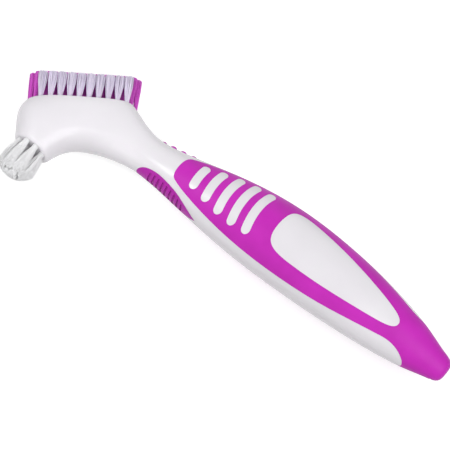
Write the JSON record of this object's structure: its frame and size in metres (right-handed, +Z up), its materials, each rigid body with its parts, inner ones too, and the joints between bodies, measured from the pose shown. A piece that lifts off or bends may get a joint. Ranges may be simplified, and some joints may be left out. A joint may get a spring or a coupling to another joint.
{
  "type": "denture brush",
  "caption": "Denture brush lying on its side: a thick oval handle with soft side grips, a flat-cut hooked head with a long brush and a small round brush under its end.",
  "frame": {"origin": "middle of the footprint of the brush as it lies on its side on a surface", "axes": "+X along the brush towards the tail of the handle, +Y towards the side of the long bristles, +Z up out of the surface"},
  "size_m": [0.177, 0.0596, 0.0256],
  "materials": {
    "white_plastic": "gloss",
    "magenta_rubber": "satin",
    "lilac_bristle": "satin",
    "magenta_bristle": "satin",
    "white_bristle": "satin",
    "anchor_metal": "satin"
  },
  "bodies": {
    "root": {"body": "white_plastic", "grip": "magenta_rubber", "lower_pad": "magenta_rubber", "upper_pad": "magenta_rubber", "anchors": "anchor_metal", "end_tuft_01": "white_bristle", "end_tuft_02": "white_bristle", "end_tuft_03": "white_bristle", "end_tuft_04": "white_bristle", "end_tuft_05": "white_bristle", "end_tuft_06": "white_bristle", "end_tuft_07": "white_bristle", "end_tuft_08": "white_bristle", "end_tuft_09": "white_bristle", "end_tuft_10": "white_bristle", "end_tuft_11": "white_bristle", "main_tuft_01": "lilac_bristle", "main_tuft_02": "lilac_bristle", "main_tuft_03": "lilac_bristle", "main_tuft_04": "lilac_bristle", "main_tuft_05": "lilac_bristle", "main_tuft_06": "lilac_bristle", "main_tuft_07": "lilac_bristle", "main_tuft_08": "lilac_bristle", "main_tuft_09": "lilac_bristle", "main_tuft_10": "lilac_bristle", "main_tuft_11": "magenta_bristle", "main_tuft_12": "magenta_bristle", "main_tuft_13": "magenta_bristle", "main_tuft_14": "magenta_bristle", "main_tuft_15": "magenta_bristle", "main_tuft_16": "magenta_bristle", "main_tuft_17": "magenta_bristle", "main_tuft_18": "magenta_bristle", "main_tuft_19": "magenta_bristle", "main_tuft_20": "magenta_bristle", "main_tuft_21": "magenta_bristle", "main_tuft_22": "magenta_bristle", "main_tuft_23": "magenta_bristle", "main_tuft_24": "magenta_bristle", "main_tuft_25": "magenta_bristle", "main_tuft_26": "magenta_bristle", "main_tuft_27": "magenta_bristle", "main_tuft_28": "magenta_bristle", "main_tuft_29": "magenta_bristle", "main_tuft_30": "magenta_bristle", "main_tuft_31": "magenta_bristle", "main_tuft_32": "magenta_bristle", "main_tuft_33": "lilac_bristle", "main_tuft_34": "lilac_bristle", "main_tuft_35": "lilac_bristle", "main_tuft_36": "lilac_bristle", "main_tuft_37": "lilac_bristle", "main_tuft_38": "lilac_bristle", "main_tuft_39": "lilac_bristle", "main_tuft_40": "lilac_bristle", "main_tuft_41": "lilac_bristle", "main_tuft_42": "lilac_bristle", "main_tuft_43": "magenta_bristle", "main_tuft_44": "magenta_bristle"}
  },
  "joints": []
}
